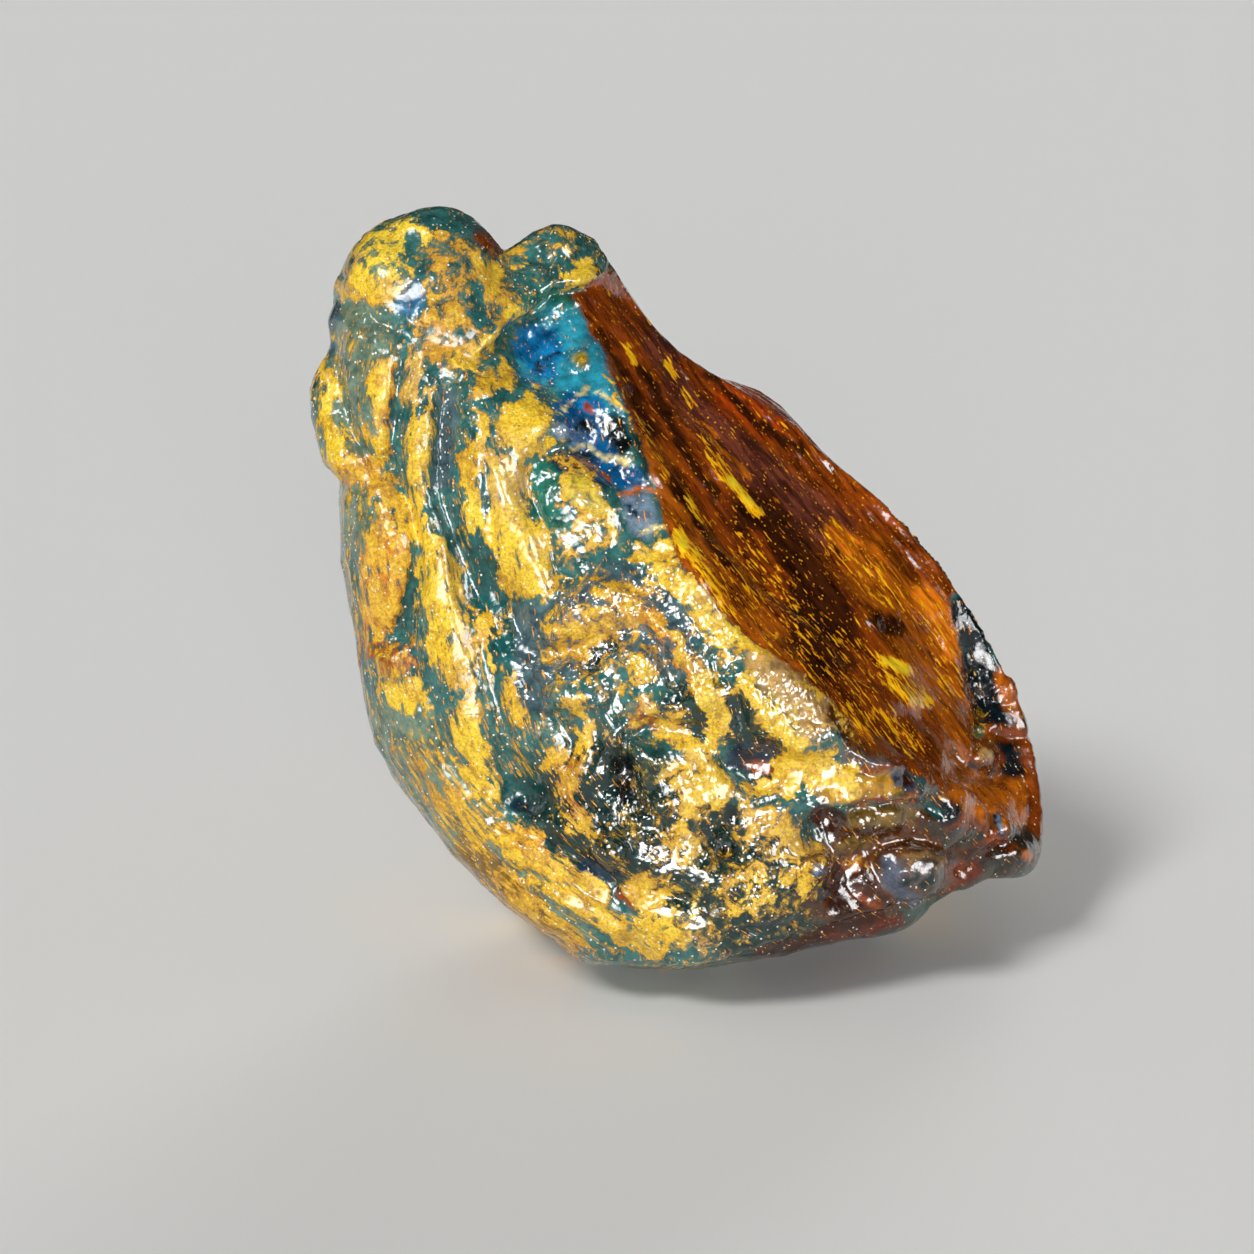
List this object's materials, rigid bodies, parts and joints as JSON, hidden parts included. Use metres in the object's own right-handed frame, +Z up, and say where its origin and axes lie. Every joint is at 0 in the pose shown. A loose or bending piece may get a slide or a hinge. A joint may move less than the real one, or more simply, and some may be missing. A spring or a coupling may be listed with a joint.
{
  "type": "raw amber piece",
  "caption": "Free-standing lump of raw blue amber: weathered, folded rind in front, a scooped fresh break on the right, and a flat to stand on.",
  "frame": {"origin": "on the ground, under the middle of the lump's box", "axes": "+Z up, -Y out of the rind face, +X towards the fresh break on the right, Y is the thickness, the shortest side"},
  "size_m": [0.0488, 0.034, 0.0493],
  "materials": {
    "amber": "glossy weathered rind over clear resin"
  },
  "bodies": {
    "root": {"raw_amber": "amber"}
  },
  "joints": []
}
